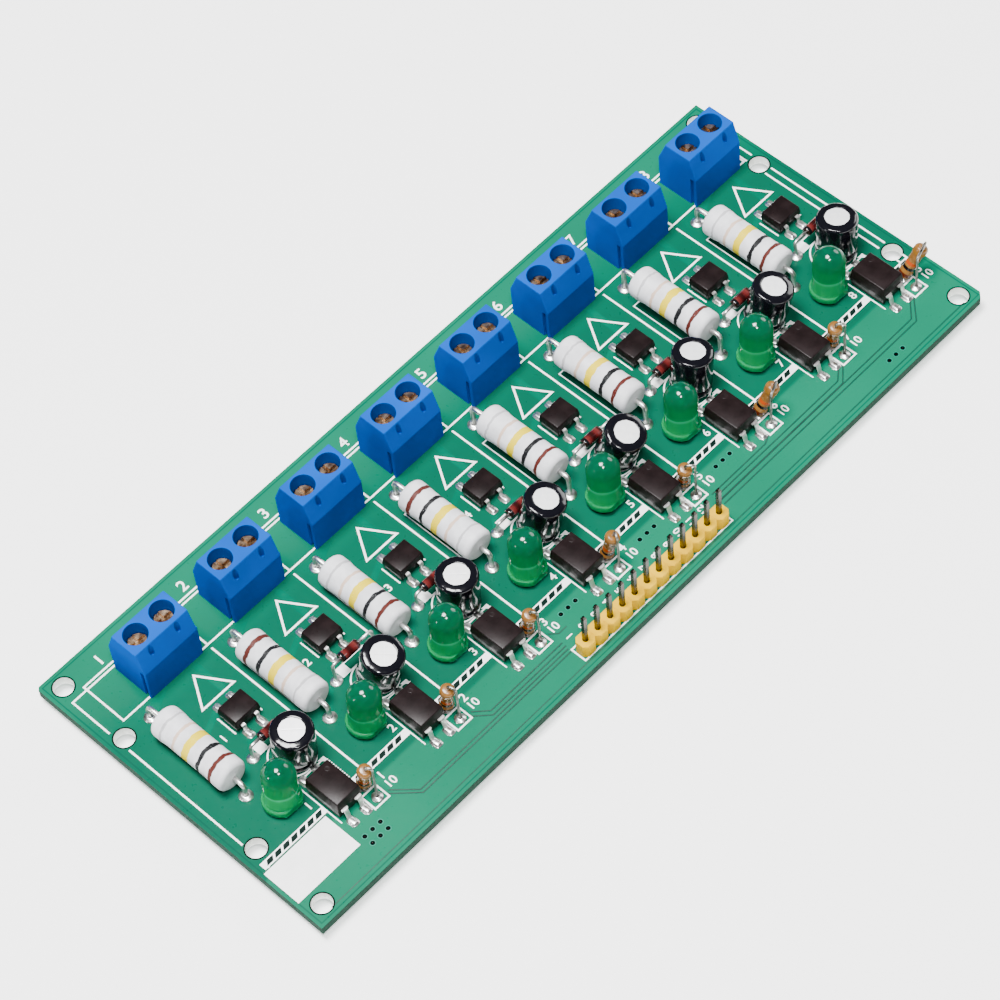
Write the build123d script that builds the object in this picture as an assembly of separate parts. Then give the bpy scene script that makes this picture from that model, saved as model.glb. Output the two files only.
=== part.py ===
from build123d import *
import os
from math import asin, hypot, radians, sin, sqrt

# An eight channel optocoupler isolation board. Each channel runs from a screw terminal on the
# mains side, through a dropper resistor, a bridge rectifier, a diode and a capacitor, to an
# indicator and an optocoupler, whose output side ends at a shared pin header.
# Millimetres. X runs along the board, Y from the header side to the terminal side, Z up.
# The origin is under the middle of the board, at the tips of the soldered pins it stands on.

# Circuit board
board_length = 138.7
board_width = 56.7
board_thickness = 1.6
front_right_corner_cut = 0.8
back_left_corner_cut = 0.4
pin_tail = 1.5
lead_tail = 1.1
hole_clearance = 0.15
board_underside = pin_tail
board_top = board_underside + board_thickness
left = -board_length / 2
front = -board_width / 2

# Mounting holes: two rows of four, one row at each end
mount_hole_radius = 1.55
mount_hole_from_end = 2.7
mount_hole_from_edge = 2.65
mount_hole_inner_front = 15.3
mount_hole_inner_back = 41.5

# Channels
channel_count = 8
channel_pitch = 16.3
first_channel = 15.9

# Screw terminals, two poles each
pole_pitch = 5.0
terminal_y = 46.95
terminal_shift = -1.3
terminal_height = 10.0
terminal_front = 3.75
terminal_back = 3.85
terminal_top_front = 2.55
terminal_top_back = 2.25
terminal_front_fold = 6.1
terminal_back_fold = 6.0
terminal_edge = 0.18
pole_wall = 0.6
floor_thickness = 0.5
shelf_thickness = 0.6
head_seat = 6.7
head_bore_radius = 1.85
chamber_front = 2.6
chamber_back = 1.75
entry_width = 3.4
entry_height = 3.8
entry_sill = 0.8
entry_chamfer = 0.3
groove_width = 0.7
groove_depth = 0.45
groove_from_front = 0.45
groove_height = 5.8
tongue_clearance = 0.1
pocket_width = 0.9
pocket_depth = 0.6
pocket_below_edge = 0.05
pocket_drop = 2.6

# Terminal screws and the clamps that they lift
screw_shank_radius = 1.22
screw_head_radius = 1.65
screw_head_height = 1.3
screw_slot_width = 0.5
screw_slot_depth = 0.6
screw_tip_chamfer = 0.25
screw_head_chamfer = 0.25
running_clearance = 0.05
clamp_clearance = 0.1
clamp_depth = 3.0
clamp_floor = 0.6
clamp_wall = 0.5
clamp_roof = 0.8
clamp_rest = 0.05
contact_thickness = 0.4
contact_bar_width = 1.8
contact_pin_width = 1.0
contact_reach = 0.4

# Dropper resistors, lying along Y
dropper_y = 31.2
dropper_shift = -8.4
dropper_length = 14.4
dropper_radius = 2.55
dropper_shoulder_radius = 2.4
dropper_shoulder_length = 2.6
dropper_end_round = 0.7
dropper_lead_radius = 0.38
dropper_hole_y = 31.7
dropper_hole_pitch = 19.0
dropper_bend = 0.8
dropper_lift = (0.1, 0.35, 0.15, 0.75, 1.75, 1.65, 2.0, 0.9)

# Bridge rectifiers
bridge_y = 31.95
bridge_size = (4.7, 3.9, 2.4)
bridge_stand = 0.15
bridge_lead_width = 0.65
bridge_span = 6.8
bridge_foot = 1.0
bridge_draft = 8
smd_lead_pitch = 2.54
smd_lead_thickness = 0.22
smd_solder = 0.1

# Diodes, lying along X above the board
diode_y = 25.65
diode_shift = 0.15
diode_hole_pitch = 7.62
diode_length = 3.7
diode_radius = 0.78
diode_end_round = 0.3
diode_lead_radius = 0.25
diode_bend = 0.6
diode_height = (3.1, 3.9, 2.9, 2.4, 2.0, 2.4, 2.4, 2.9)
diode_offset = (-0.3, -0.6, -0.8, 0.1, -0.1, -0.7, -0.15, 0.45)
diode_swing = (0.0, 0.2, 0.1, -0.3, 0.0, 0.25, -0.05, 0.4)

# Capacitors, standing, each with its own lean: how far its top is off in X and Y
capacitor_y = 21.6
capacitor_shift = 0.6
capacitor_height = 7.2
capacitor_radius = 3.15
capacitor_sleeve = 0.15
capacitor_groove_height = 1.1
capacitor_groove_depth = 0.22
capacitor_lip = 1.0
capacitor_vent_length = 3.2
capacitor_vent_width = 0.2
capacitor_vent_depth = 0.1
capacitor_lead_pitch = 2.5
capacitor_lead_radius = 0.25
capacitor_lean = (
    (0.0, -0.45), (0.35, -1.75), (0.2, -0.1), (1.1, -1.15),
    (0.6, -2.15), (1.15, 0.3), (1.2, -0.95), (0.7, 0.5),
)

# Indicator lamps, standing, with their lean measured the same way
lamp_y = 17.7
lamp_shift = -5.75
lamp_height = 8.6
lamp_radius = 2.5
lamp_flange_radius = 2.9
lamp_flange_height = 1.0
lamp_flat = 2.5
lamp_lead_pitch = 2.54
lamp_lead_width = 0.5
lamp_stand = 0.1
lamp_lean = (
    (0.6, 0.2), (0.6, 0.0), (0.7, 0.2), (0.6, 0.6),
    (0.8, 0.9), (0.85, 0.7), (0.85, 0.45), (0.75, 0.5),
)

# Optocouplers
opto_y = 13.0
opto_shift = -0.35
opto_size = (4.58, 6.5, 3.5)
opto_stand = 0.15
opto_lead_width = 0.75
opto_shoulder_width = 1.15
opto_span = 10.2
opto_foot = 1.0
opto_draft = 6
opto_mark_radius = 0.4
opto_mark_depth = 0.1

# Pull-up resistors, standing on end, with the lean of the top end
pullup_y = 10.99
pullup_shift = 3.3
pullup_hole_pitch = 2.54
pullup_length = 6.2
pullup_radius = 0.8
pullup_cap_radius = 0.95
pullup_cap_length = 1.4
pullup_stand = 0.6
pullup_lead_radius = 0.2
pullup_bend = 0.5
pullup_rise = 1.0
pullup_lean = (
    (-0.4, -1.45), (-0.25, -1.15), (-0.4, -1.35), (0.45, -1.35),
    (-0.85, -1.4), (2.15, -1.3), (-0.75, -1.4), (2.85, -1.3),
)

# Pin header
header_pins = 12
header_pitch = 2.54
header_first_pin = 55.2
header_y = 2.95
header_height = 2.5
header_corner = 0.6
header_pin_width = 0.64
header_pin_rise = 5.8
header_pin_point = 0.2
header_relief = 0.3
header_foot_gap = 1.3
header_countersink = 0.3

# Vias: x and y of the first hole, holes along X, rows along Y
via_radius = 0.3
via_pitch = 1.5
via_groups = (
    (13.7, 3.95, 3, 2), (57.0, 9.45, 3, 1), (73.5, 9.45, 3, 1),
    (89.9, 9.6, 3, 1), (120.4, 2.8, 3, 1),
)

# Solder
solder_collar = 0.55
solder_rise = 0.35
solder_drop = 0.9

TOP_AT_ORIGIN = (Align.CENTER, Align.CENTER, Align.MAX)

# Places that several parts share
terminal_width = 2 * pole_pitch
chamber_width = pole_pitch - 2 * pole_wall
chamber_top = head_seat - shelf_thickness
lift_room = chamber_top - floor_thickness
clamp_fixed_height = clamp_floor + clamp_roof + contact_thickness + 2 * clamp_rest
clamp_travel = (lift_room - clamp_fixed_height - 2 * clamp_rest) / 2
clamp_height = clamp_fixed_height + clamp_travel
contact_bottom = floor_thickness + clamp_rest + clamp_travel + clamp_floor + clamp_rest
contact_top = contact_bottom + contact_thickness
contact_pin_y = -(chamber_front + clamp_depth / 2 + clamp_clearance) / 2


def board_point(x, y, z=0.0):
    """A place measured from the board's left front corner, with z above its top face."""
    return Vector(left + x, front + y, board_top + z)


def channel_point(channel, shift, y, z=0.0):
    return board_point(first_channel + channel * channel_pitch + shift, y, z)


def export_group(name, shapes):
    solids = [solid for shape in shapes for solid in shape.solids()]
    group = solids[0] if len(solids) == 1 else Compound(children=solids)
    export_step(group, f"parts/{name}.step")


def box_between(low, high):
    size = [b - a for a, b in zip(low, high)]
    middle = [(a + b) / 2 for a, b in zip(low, high)]
    return Pos(*middle) * Box(*size)


def rod(start, end, radius):
    """A round bar between two points."""
    run = Vector(*end) - Vector(*start)
    return extrude(Plane(origin=start, z_dir=run) * Circle(radius), run.length)


def wire(points, radius, bend):
    """Round wire through the points, with every corner bent to one radius."""
    corners = [points[0]]
    for before, point, after in zip(points, points[1:], points[2:]):
        if (point - before).get_angle(after - point) > 1:
            corners.append(point)
    path = FilletPolyline(*corners, points[-1], radius=bend)
    return sweep(Plane(origin=path @ 0, z_dir=path % 0) * Circle(radius), path=path)


def leaning(base, lean, length):
    """The frame of a part whose top is off by the lean, with its own Z along the part."""
    rise = sqrt(length**2 - lean[0] ** 2 - lean[1] ** 2)
    tilt = Vector(lean[0], lean[1], rise)
    across = Vector(0, 1, 0).cross(tilt)
    return Plane(origin=base, x_dir=across, z_dir=tilt)


def lean_angle(lean, length):
    return asin(hypot(*lean) / length)


# Circuit board
def lead_holes():
    """Each soldered hole: its place, its lead's section and reach, and if solder shows on top."""
    holes = []

    def add(place, section, reach, ring):
        holes.append((place, section, reach, ring))

    def add_round(place, radius, ring):
        add(place, Circle(radius), radius, ring)

    def add_bar(place, width, depth):
        add(place, Rectangle(width, depth), hypot(width, depth) / 2, False)

    for channel in range(channel_count):
        for side in (-1, 1):
            pole = terminal_shift + side * pole_pitch / 2
            place = channel_point(channel, pole, terminal_y + contact_pin_y)
            add_bar(place, contact_pin_width, contact_thickness)
            y = dropper_hole_y + side * dropper_hole_pitch / 2
            add_round(channel_point(channel, dropper_shift, y), dropper_lead_radius, True)
            x = diode_shift + side * diode_hole_pitch / 2
            add_round(channel_point(channel, x, diode_y), diode_lead_radius, True)
            x = capacitor_shift + side * capacitor_lead_pitch / 2
            add_round(channel_point(channel, x, capacitor_y), capacitor_lead_radius, False)
            y = lamp_y + side * lamp_lead_pitch / 2
            add_bar(channel_point(channel, lamp_shift, y), lamp_lead_width, lamp_lead_width)
        for y in (pullup_y, pullup_y - pullup_hole_pitch):
            add_round(channel_point(channel, pullup_shift, y), pullup_lead_radius, True)
    for pin in range(header_pins):
        place = board_point(header_first_pin + pin * header_pitch, header_y)
        add_bar(place, header_pin_width, header_pin_width)
    return holes


def mount_holes():
    rows = (mount_hole_from_edge, mount_hole_inner_front, mount_hole_inner_back)
    rows += (board_width - mount_hole_from_edge,)
    ends = (mount_hole_from_end, board_length - mount_hole_from_end)
    return [board_point(x, y) for x in ends for y in rows]


def via_holes():
    places = []
    for x, y, across, rows in via_groups:
        places += [
            board_point(x + i * via_pitch, y + j * via_pitch)
            for i in range(across)
            for j in range(rows)
        ]
    return places


def circuit_board():
    outline = Rectangle(board_length, board_width)
    corners = outline.vertices().sort_by(lambda corner: corner.X - corner.Y)
    outline = chamfer(corners[-1], front_right_corner_cut)
    corners = outline.vertices().sort_by(lambda corner: corner.X - corner.Y)
    outline = chamfer(corners[0], back_left_corner_cut)
    for place in mount_holes():
        outline -= Pos(place.X, place.Y) * Circle(mount_hole_radius)
    for place in via_holes():
        outline -= Pos(place.X, place.Y) * Circle(via_radius)
    for place, section, reach, ring in lead_holes():
        outline -= Pos(place.X, place.Y) * Circle(reach + hole_clearance)
    return Pos(0, 0, board_underside) * extrude(outline, board_thickness)


# Screw terminals. Each is modelled about the point on the board under the middle of its poles.
def pole_places():
    return (-pole_pitch / 2, pole_pitch / 2)


def terminal_housing():
    profile = Polyline(
        (-terminal_front, 0),
        (terminal_back, 0),
        (terminal_back, terminal_back_fold),
        (terminal_top_back, terminal_height),
        (-terminal_top_front, terminal_height),
        (-terminal_front, terminal_front_fold),
        close=True,
    )
    side = Plane(origin=(-terminal_width / 2, 0, 0), x_dir=(0, 1, 0), z_dir=(1, 0, 0))
    body = extrude(side * make_face(profile), terminal_width)
    edges = body.edges().filter_by(lambda edge: edge.center().Z > 0.01)
    body = fillet(edges, terminal_edge)
    groove_front = -terminal_front + groove_from_front
    body -= box_between(
        (-terminal_width / 2 - 1, groove_front, -1),
        (-terminal_width / 2 + groove_depth, groove_front + groove_width, groove_height),
    )
    body += box_between(
        (terminal_width / 2 - groove_depth, groove_front + tongue_clearance, 0),
        (
            terminal_width / 2 + groove_depth - tongue_clearance,
            groove_front + groove_width - tongue_clearance,
            groove_height - tongue_clearance,
        ),
    )
    for x in pole_places():
        body -= pole_hollows(x)
    return body


def pole_hollows(x):
    """Everything that one pole takes out of the housing."""
    chamber = box_between(
        (x - chamber_width / 2, -chamber_front, floor_thickness),
        (x + chamber_width / 2, chamber_back, chamber_top),
    )
    entry = box_between(
        (x - entry_width / 2, 0, entry_sill),
        (x + entry_width / 2, terminal_back + 1, entry_sill + entry_height),
    )
    mouth = Plane(origin=(x, terminal_back, entry_sill + entry_height / 2), z_dir=(0, -1, 0))
    outer = Rectangle(entry_width + 2 * entry_chamfer, entry_height + 2 * entry_chamfer)
    inner = Rectangle(entry_width, entry_height)
    funnel = loft([mouth * outer, mouth.offset(entry_chamfer) * inner])
    bore = rod((x, 0, head_seat), (x, 0, terminal_height + 1), head_bore_radius)
    shank_hole = rod((x, 0, floor_thickness + 1), (x, 0, head_seat), screw_shank_radius + running_clearance)
    pocket_y = -(terminal_top_front + pocket_below_edge + pocket_depth / 2)
    pocket = Pos(x, pocket_y, terminal_height - pocket_drop)
    pocket *= extrude(Ellipse(pocket_width / 2, pocket_depth / 2), pocket_drop)
    pin_slot = box_between(
        (x - contact_pin_width / 2, contact_pin_y - contact_thickness / 2, -1),
        (x + contact_pin_width / 2, contact_pin_y + contact_thickness / 2, floor_thickness + 1),
    )
    return chamber + entry + funnel + bore + shank_hole + pocket + pin_slot


def terminal_screw():
    """The screw of the pole at the origin, with a cross slot in its cheese head."""
    tip = contact_top + running_clearance
    head_top = head_seat + screw_head_height
    shank = rod((0, 0, tip), (0, 0, head_seat), screw_shank_radius)
    shank = chamfer(shank.edges().sort_by(Axis.Z)[:1], screw_tip_chamfer)
    head = rod((0, 0, head_seat), (0, 0, head_top), screw_head_radius)
    head = chamfer(head.edges().sort_by(Axis.Z)[-1:], screw_head_chamfer)
    for turn in (0, 90):
        head -= Rot(0, 0, turn) * box_between(
            (-screw_head_radius, -screw_slot_width / 2, head_top - screw_slot_depth),
            (screw_head_radius, screw_slot_width / 2, head_top + 1),
        )
    return shank + head


def terminal_clamp():
    """The square cage that the screw lifts, open where the wire passes along Y."""
    bottom = floor_thickness + clamp_rest
    width = chamber_width - 2 * clamp_clearance
    cage = box_between(
        (-width / 2, -clamp_depth / 2, bottom),
        (width / 2, clamp_depth / 2, bottom + clamp_height),
    )
    upright = cage.edges().filter_by(Axis.Y)
    cage = fillet(upright, clamp_wall / 2)
    cage -= box_between(
        (-width / 2 + clamp_wall, -clamp_depth, bottom + clamp_floor),
        (width / 2 - clamp_wall, clamp_depth, bottom + clamp_height - clamp_roof),
    )
    tapped = screw_shank_radius + running_clearance
    cage -= rod((0, 0, bottom + clamp_floor + 1), (0, 0, bottom + clamp_height + 1), tapped)
    return cage


def terminal_contact():
    """The fixed bar inside the cage, bent down into the pin that is soldered in the board."""
    bar = box_between(
        (-contact_bar_width / 2, contact_pin_y - contact_thickness / 2, contact_bottom),
        (contact_bar_width / 2, chamber_back + contact_reach, contact_top),
    )
    pin = box_between(
        (-contact_pin_width / 2, contact_pin_y - contact_thickness / 2, -board_top),
        (contact_pin_width / 2, contact_pin_y + contact_thickness / 2, contact_top),
    )
    return bar + pin


# Dropper resistors
def lathe(points):
    """A turned solid about Z from the radius and height of each corner."""
    outline = Plane.XZ * make_face(Polyline(*points, close=True))
    return revolve(outline, Axis.Z)


def dropper_body(channel):
    half = dropper_length / 2
    step = half - dropper_shoulder_length
    radius = dropper_radius
    body = lathe(
        [
            (0, -half),
            (radius, -half),
            (radius, -step),
            (dropper_shoulder_radius, -step + radius - dropper_shoulder_radius),
            (dropper_shoulder_radius, step - radius + dropper_shoulder_radius),
            (radius, step),
            (radius, half),
            (0, half),
        ]
    )
    rims = body.edges().filter_by(GeomType.CIRCLE).group_by(Axis.Z)
    body = fillet(rims[0] + rims[-1], dropper_end_round)
    middle = channel_point(channel, dropper_shift, dropper_y, dropper_lift[channel] + radius)
    return Plane(origin=middle, x_dir=(1, 0, 0), z_dir=(0, 1, 0)) * body


def dropper_leads(channel):
    leads = []
    height = dropper_lift[channel] + dropper_radius
    for side in (-1, 1):
        hole_y = dropper_hole_y + side * dropper_hole_pitch / 2
        points = [
            channel_point(channel, dropper_shift, dropper_y + side * dropper_length / 2, height),
            channel_point(channel, dropper_shift, hole_y, height),
            channel_point(channel, dropper_shift, hole_y, -board_thickness - lead_tail),
        ]
        leads.append(wire(points, dropper_lead_radius, dropper_bend))
    return leads


# Moulded bodies with gull-wing leads
def moulded_body(size, stand, draft):
    """A moulded block that tapers up and down from its parting line."""
    length, width, height = size
    narrow = height / 2 * sin(radians(draft))
    middle = Plane.XY.offset(stand + height / 2)
    wide_face = middle * Rectangle(length, width)
    body = None
    for end in (stand, stand + height):
        small = Plane.XY.offset(end) * Rectangle(length - 2 * narrow, width - 2 * narrow)
        half = loft([wide_face, small])
        body = half if body is None else body + half
    return body


def gull_lead(body_width, span, shoulder_height, foot, width, shoulder_width):
    """One lead that leaves the body at +Y, drops and turns out into a foot on its solder."""
    half = smd_lead_thickness / 2
    tip = span / 2
    sole = smd_solder + half
    knee = body_width / 2 + 2 * smd_lead_thickness
    centre_line = Polyline(
        (0, shoulder_height),
        (knee, shoulder_height),
        (tip - foot, sole),
        (tip + foot, sole),
    )
    across = Plane(origin=(0, 0, 0), x_dir=(0, 1, 0), z_dir=(1, 0, 0))
    strip = across * make_face(offset(centre_line, half, kind=Kind.INTERSECTION, side=Side.BOTH))
    lead = extrude(strip.faces()[0], width / 2, both=True)
    lead &= box_between((-width, body_width / 2, 0), (width, tip, 2 * shoulder_height))
    shoulder = box_between(
        (-shoulder_width / 2, body_width / 2, shoulder_height - half),
        (shoulder_width / 2, knee, shoulder_height + half),
    )
    return lead + shoulder


def four_leads(lead, centre):
    leads = []
    for turn in (0, 180):
        for x in (-smd_lead_pitch / 2, smd_lead_pitch / 2):
            leads.append(Pos(centre) * Rot(0, 0, turn) * Pos(x, 0, 0) * lead)
    return leads


def bridge_body(channel):
    body = moulded_body(bridge_size, bridge_stand, bridge_draft)
    return Pos(channel_point(channel, 0, bridge_y)) * body


def bridge_leads(channel):
    height = bridge_stand + bridge_size[2] / 2
    width = bridge_lead_width
    lead = gull_lead(bridge_size[1], bridge_span, height, bridge_foot, width, width)
    return four_leads(lead, channel_point(channel, 0, bridge_y))


def opto_body(channel):
    body = moulded_body(opto_size, opto_stand, opto_draft)
    top = opto_stand + opto_size[2]
    mark = (opto_size[0] / 2 - 3 * opto_mark_radius, opto_size[1] / 2 - 3 * opto_mark_radius)
    body -= rod((*mark, top - opto_mark_depth), (*mark, top + 1), opto_mark_radius)
    return Pos(channel_point(channel, opto_shift, opto_y)) * body


def opto_leads(channel):
    height = opto_stand + opto_size[2] / 2
    lead = gull_lead(
        opto_size[1], opto_span, height, opto_foot, opto_lead_width, opto_shoulder_width
    )
    return four_leads(lead, channel_point(channel, opto_shift, opto_y))


# Diodes
def diode_body(channel):
    half = diode_length / 2
    body = rod((-half, 0, 0), (half, 0, 0), diode_radius)
    body = fillet(body.edges().filter_by(GeomType.CIRCLE), diode_end_round)
    shift = diode_shift + diode_offset[channel]
    y = diode_y + diode_swing[channel]
    return Pos(channel_point(channel, shift, y, diode_height[channel])) * body


def diode_leads(channel):
    leads = []
    height = diode_height[channel]
    shift = diode_shift + diode_offset[channel]
    y = diode_y + diode_swing[channel]
    for side in (-1, 1):
        hole = diode_shift + side * diode_hole_pitch / 2
        points = [
            channel_point(channel, shift + side * diode_length / 2, y, height),
            channel_point(channel, hole, y, height),
            channel_point(channel, hole, diode_y, solder_rise + diode_bend / 2),
            channel_point(channel, hole, diode_y, -board_thickness - lead_tail),
        ]
        leads.append(wire(points, diode_lead_radius, diode_bend))
    return leads


# Capacitors
def capacitor_frame(channel):
    lean = capacitor_lean[channel]
    stand = capacitor_radius * sin(lean_angle(lean, capacitor_height)) + smd_solder
    base = channel_point(channel, capacitor_shift, capacitor_y, stand)
    return leaning(base, lean, capacitor_height)


def capacitor_can(channel):
    """The aluminium can with the rolled groove near its foot and the rubber plug's step."""
    radius = capacitor_radius - capacitor_sleeve
    neck = radius - capacitor_groove_depth
    middle = capacitor_groove_height
    can = lathe(
        [
            (0, 0),
            (radius, 0),
            (radius, middle - capacitor_groove_depth),
            (neck, middle),
            (radius, middle + capacitor_groove_depth),
            (radius, capacitor_height - capacitor_sleeve),
            (0, capacitor_height - capacitor_sleeve),
        ]
    )
    for turn in (0, 90):
        can -= Pos(0, 0, capacitor_height - capacitor_sleeve) * Rot(0, 0, turn + 45) * Box(
            capacitor_vent_length, capacitor_vent_width, 2 * capacitor_vent_depth
        )
    return capacitor_frame(channel) * can


def capacitor_sleeve_shell(channel):
    """The printed film around the can, shrunk over the edge of its top."""
    inner = capacitor_radius - capacitor_sleeve
    neck = inner - capacitor_groove_depth
    middle = capacitor_groove_height
    half = capacitor_groove_depth
    top = capacitor_height
    sleeve = lathe(
        [
            (inner, 0),
            (capacitor_radius, 0),
            (capacitor_radius, middle - half),
            (neck + capacitor_sleeve, middle),
            (capacitor_radius, middle + half),
            (capacitor_radius, top),
            (inner - capacitor_lip, top),
            (inner - capacitor_lip, top - capacitor_sleeve),
            (inner, top - capacitor_sleeve),
            (inner, middle + half),
            (neck, middle),
            (inner, middle - half),
        ]
    )
    return capacitor_frame(channel) * sleeve


def capacitor_leads(channel):
    leads = []
    for side in (-1, 1):
        shift = capacitor_shift + side * capacitor_lead_pitch / 2
        tip = channel_point(channel, shift, capacitor_y, -board_thickness - lead_tail)
        inside = channel_point(channel, shift, capacitor_y, capacitor_radius)
        leads.append(rod(tip, inside, capacitor_lead_radius) - capacitor_can(channel))
    return leads


# Indicator lamps
def lamp_frame(channel):
    lean = lamp_lean[channel]
    stand = lamp_flange_radius * sin(lean_angle(lean, lamp_height)) + lamp_stand
    base = channel_point(channel, lamp_shift, lamp_y, stand)
    return leaning(base, lean, lamp_height)


def lamp_lens(channel):
    """The moulded lens: a flange with one flat, a short barrel and a dome."""
    shoulder = lamp_height - lamp_radius
    outline = [
        Polyline(
            (0, shoulder),
            (0, 0),
            (lamp_flange_radius, 0),
            (lamp_flange_radius, lamp_flange_height),
            (lamp_radius, lamp_flange_height),
            (lamp_radius, shoulder),
        ),
        RadiusArc((lamp_radius, shoulder), (0, lamp_height), -lamp_radius),
        Line((0, lamp_height), (0, shoulder)),
    ]
    lens = revolve(Plane.XZ * make_face(outline), Axis.Z)
    lens -= box_between(
        (-lamp_flange_radius, -lamp_flange_radius - 1, -1),
        (lamp_flange_radius, -lamp_flat, lamp_flange_height + 1),
    )
    return lamp_frame(channel) * lens


def lamp_leads(channel):
    leads = []
    for side in (-1, 1):
        tip = channel_point(channel, lamp_shift, lamp_y + side * lamp_lead_pitch / 2)
        tip -= Vector(0, 0, board_thickness + lead_tail)
        length = board_thickness + lead_tail + lamp_flange_radius
        bar = Pos(tip) * extrude(Rectangle(lamp_lead_width, lamp_lead_width), length)
        leads.append(bar - lamp_lens(channel))
    return leads


# Pull-up resistors
def pullup_frame(channel):
    base = channel_point(channel, pullup_shift, pullup_y, pullup_stand)
    return leaning(base, pullup_lean[channel], pullup_length)


def pullup_body(channel):
    """A small resistor with its two end caps thicker than its barrel."""
    cap = pullup_cap_radius
    step = cap - pullup_radius
    low = pullup_cap_length
    high = pullup_length - pullup_cap_length
    body = lathe(
        [
            (0, 0),
            (cap, 0),
            (cap, low),
            (pullup_radius, low + step),
            (pullup_radius, high - step),
            (cap, high),
            (cap, pullup_length),
            (0, pullup_length),
        ]
    )
    rims = body.edges().filter_by(GeomType.CIRCLE).group_by(Axis.Z)
    body = fillet(rims[0] + rims[-1], cap / 2)
    return pullup_frame(channel) * body


def pullup_leads(channel):
    frame = pullup_frame(channel)
    hole = channel_point(channel, pullup_shift, pullup_y)
    far_hole = channel_point(channel, pullup_shift, pullup_y - pullup_hole_pitch)
    drop = Vector(0, 0, board_thickness + lead_tail)
    inside = hole + Vector(0, 0, pullup_stand + pullup_cap_radius)
    straight = rod(hole - drop, inside, pullup_lead_radius) - pullup_body(channel)
    start = frame.from_local_coords(Vector(0, 0, pullup_length))
    crest = frame.from_local_coords(Vector(0, 0, pullup_length + pullup_rise))
    above = Vector(far_hole.X, far_hole.Y, crest.Z)
    return [straight, wire([start, crest, above, far_hole - drop], pullup_lead_radius, pullup_bend)]


# Pin header
def header_strip():
    """The moulded strip: one eight-sided segment for each pin, raised between its feet."""
    segment = chamfer(Rectangle(header_pitch, header_pitch).vertices(), header_corner)
    strip = None
    for pin in range(header_pins):
        place = board_point(header_first_pin + pin * header_pitch, header_y)
        block = Pos(place) * extrude(segment, header_height)
        block -= Pos(place) * Box(header_foot_gap, header_pitch, 2 * header_relief)
        block -= Pos(place) * Box(header_pin_width, header_pin_width, 3 * header_height)
        rim = header_pin_width * sqrt(2) / 2
        sink = Cone(rim, rim + header_countersink, header_countersink, align=TOP_AT_ORIGIN)
        block -= Pos(place) * Pos(0, 0, header_height) * sink
        strip = block if strip is None else strip + block
    return strip


def header_pin(pin):
    place = board_point(header_first_pin + pin * header_pitch, header_y)
    height = board_top + header_height + header_pin_rise
    shaft = Pos(place.X, place.Y, height / 2) * Box(header_pin_width, header_pin_width, height)
    return chamfer(shaft.faces().sort_by(Axis.Z)[-1].edges(), header_pin_point)


# Solder
def solder_joint(place, section, reach, ring):
    """One joint: a cone below, a plug in the hole and, where the board is bare, a ring on top."""
    hole = reach + hole_clearance
    pad = hole + solder_collar
    neck = reach + solder_collar / 4
    points = [
        (0, board_underside - solder_drop),
        (neck, board_underside - solder_drop),
        (pad, board_underside),
        (hole, board_underside),
        (hole, board_top),
    ]
    if ring:
        points += [(pad, board_top), (neck, board_top + solder_rise), (0, board_top + solder_rise)]
    else:
        points.append((0, board_top))
    joint = lathe(points) - extrude(section, 2 * board_top, both=True)
    return Pos(place.X, place.Y) * joint


def solder_pads(channel):
    """The tinned pads under the feet of the rectifier and the optocoupler."""
    pads = []
    for centre, span, foot, width in (
        (channel_point(channel, 0, bridge_y), bridge_span, bridge_foot, bridge_lead_width),
        (channel_point(channel, opto_shift, opto_y), opto_span, opto_foot, opto_lead_width),
    ):
        size = (width + solder_collar, foot + solder_collar, smd_solder)
        for x in (-smd_lead_pitch / 2, smd_lead_pitch / 2):
            for side in (-1, 1):
                y = side * (span / 2 - foot / 2)
                pads.append(Pos(centre) * Pos(x, y, smd_solder / 2) * Box(*size))
    return pads


def export_terminals():
    housing = terminal_housing()
    screw = terminal_screw()
    clamp = terminal_clamp()
    contact = terminal_contact()
    contacts = []
    for channel in range(channel_count):
        place = channel_point(channel, terminal_shift, terminal_y)
        number = channel + 1
        export_group(f"terminal_housing_{number}", [Pos(place) * housing])
        for letter, x in zip("ab", pole_places()):
            pole = Pos(place) * Pos(x, 0, 0)
            export_group(f"terminal_screw_{number}{letter}", [pole * screw])
            export_group(f"terminal_clamp_{number}{letter}", [pole * clamp])
            contacts.append(pole * contact)
    export_group("terminal_contacts", contacts)


def export_components():
    singles = {
        "dropper_resistors": dropper_body,
        "bridge_rectifiers": bridge_body,
        "diodes": diode_body,
        "capacitor_cans": capacitor_can,
        "capacitor_sleeves": capacitor_sleeve_shell,
        "lamp_lenses": lamp_lens,
        "optocouplers": opto_body,
        "pullup_resistors": pullup_body,
    }
    leads = {
        "dropper_leads": dropper_leads,
        "bridge_leads": bridge_leads,
        "diode_leads": diode_leads,
        "capacitor_leads": capacitor_leads,
        "lamp_leads": lamp_leads,
        "optocoupler_leads": opto_leads,
        "pullup_leads": pullup_leads,
    }
    channels = range(channel_count)
    for name, make in singles.items():
        export_group(name, [make(channel) for channel in channels])
    for name, make in leads.items():
        export_group(name, [lead for channel in channels for lead in make(channel)])


def export_solder():
    joints = [solder_joint(*hole) for hole in lead_holes()]
    for channel in range(channel_count):
        joints += solder_pads(channel)
    export_group("solder_joints", joints)


os.makedirs("parts", exist_ok=True)
export_group("circuit_board", [circuit_board()])
export_terminals()
export_components()
export_group("header_strip", [header_strip()])
export_group("header_pins", [header_pin(pin) for pin in range(header_pins)])
export_solder()
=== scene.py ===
import itertools
import math
import random

import bmesh
import bpy
from mathutils import Matrix, Vector


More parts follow.
